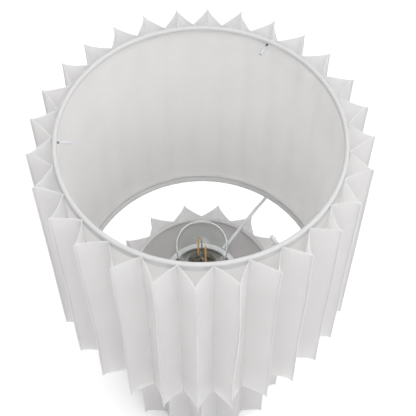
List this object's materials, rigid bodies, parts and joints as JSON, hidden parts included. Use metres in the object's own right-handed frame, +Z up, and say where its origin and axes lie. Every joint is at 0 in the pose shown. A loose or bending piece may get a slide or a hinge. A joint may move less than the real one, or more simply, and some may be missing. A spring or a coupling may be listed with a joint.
{
  "type": "pleated drum lamp shade on a pleated lamp stand",
  "caption": "Wide pleated fabric drum shade on a wire spider, lifted off over a clear bulb in a lampholder, above a narrower pleated drum that hides a weighted stand.",
  "frame": {"origin": "on the ground at the middle of the foot, on the lamp's axis", "axes": "+Z up along the lamp's axis; +X and +Y are level, and the first shade arm points 55 degrees from +X towards +Y"},
  "size_m": [0.3318, 0.3318, 0.5336],
  "materials": {
    "pleated_cloth": "plain-woven polycotton, matt, pleated, off-white",
    "shade_liner": "cloth laminated on stiff film, matt, warm white",
    "edge_tape": "cloth rolled over the ring wire, matt white",
    "clear_sleeve": "clear soft sleeve",
    "bulb_glass": "clear blown glass",
    "nickel_plate": "nickel-plated",
    "filament_coating": "amber phosphor-coated rod",
    "black_plastic": "black moulded, smooth",
    "ceramic": "unglazed ceramic",
    "brass": "stamped",
    "cast_iron": "painted dark grey",
    "felt": "pressed felt, dark grey",
    "zinc_steel": "zinc-plated",
    "white_wire": "white powder coat"
  },
  "bodies": {
    "stand": {"base_nut": "zinc_steel", "base_plate": "cast_iron", "cord_gland": "black_plastic", "felt_pad": "felt", "holder_body": "black_plastic", "holder_cap": "black_plastic", "holder_contact": "brass", "holder_insert": "ceramic", "holder_lock_nut": "zinc_steel", "holder_screw_shell": "brass", "shade_carrier": "black_plastic", "stand_arm_1": "white_wire", "stand_arm_2": "white_wire", "stand_arm_3": "white_wire", "stand_bottom_binding": "edge_tape", "stand_bottom_ring": "white_wire", "stand_hub_washer": "zinc_steel", "stand_liner": "shade_liner", "stand_pleats": "pleated_cloth", "stand_top_binding": "edge_tape", "stand_top_ring": "white_wire", "stem": "zinc_steel", "tie_rod": "zinc_steel"},
    "shade": {"peg_sleeve_1": "clear_sleeve", "peg_sleeve_2": "clear_sleeve", "peg_sleeve_3": "clear_sleeve", "peg_wire_1": "zinc_steel", "peg_wire_2": "zinc_steel", "peg_wire_3": "zinc_steel", "shade_arm_1": "white_wire", "shade_arm_2": "white_wire", "shade_arm_3": "white_wire", "shade_bottom_binding": "edge_tape", "shade_bottom_ring": "white_wire", "shade_hub_ring": "white_wire", "shade_liner": "shade_liner", "shade_pleats": "pleated_cloth", "shade_top_binding": "edge_tape", "shade_top_ring": "white_wire"},
    "ring_nut": {"holder_ring_nut": "black_plastic"},
    "bulb": {"bulb_end_contact": "nickel_plate", "bulb_glass": "bulb_glass", "bulb_insulator": "black_plastic", "bulb_screw_cap": "nickel_plate", "bulb_stem": "bulb_glass", "bulb_support_rod": "bulb_glass", "filament_1": "filament_coating", "filament_2": "filament_coating", "filament_bridge_lower": "nickel_plate", "filament_bridge_upper": "nickel_plate"}
  },
  "joints": [
    {"name": "shade_lift", "type": "slide", "parent": "stand", "child": "shade", "axis": [0, 0, 1], "range_m": [0, 0.12]},
    {"name": "bulb_out", "type": "slide", "parent": "stand", "child": "bulb", "axis": [0, 0, 1], "range_m": [0, 0.3]},
    {"name": "ring_nut_turn", "type": "hinge", "parent": "stand", "child": "ring_nut", "pos_m": [0, 0, 0.2611], "axis": [0, 0, 1], "continuous": true}
  ]
}
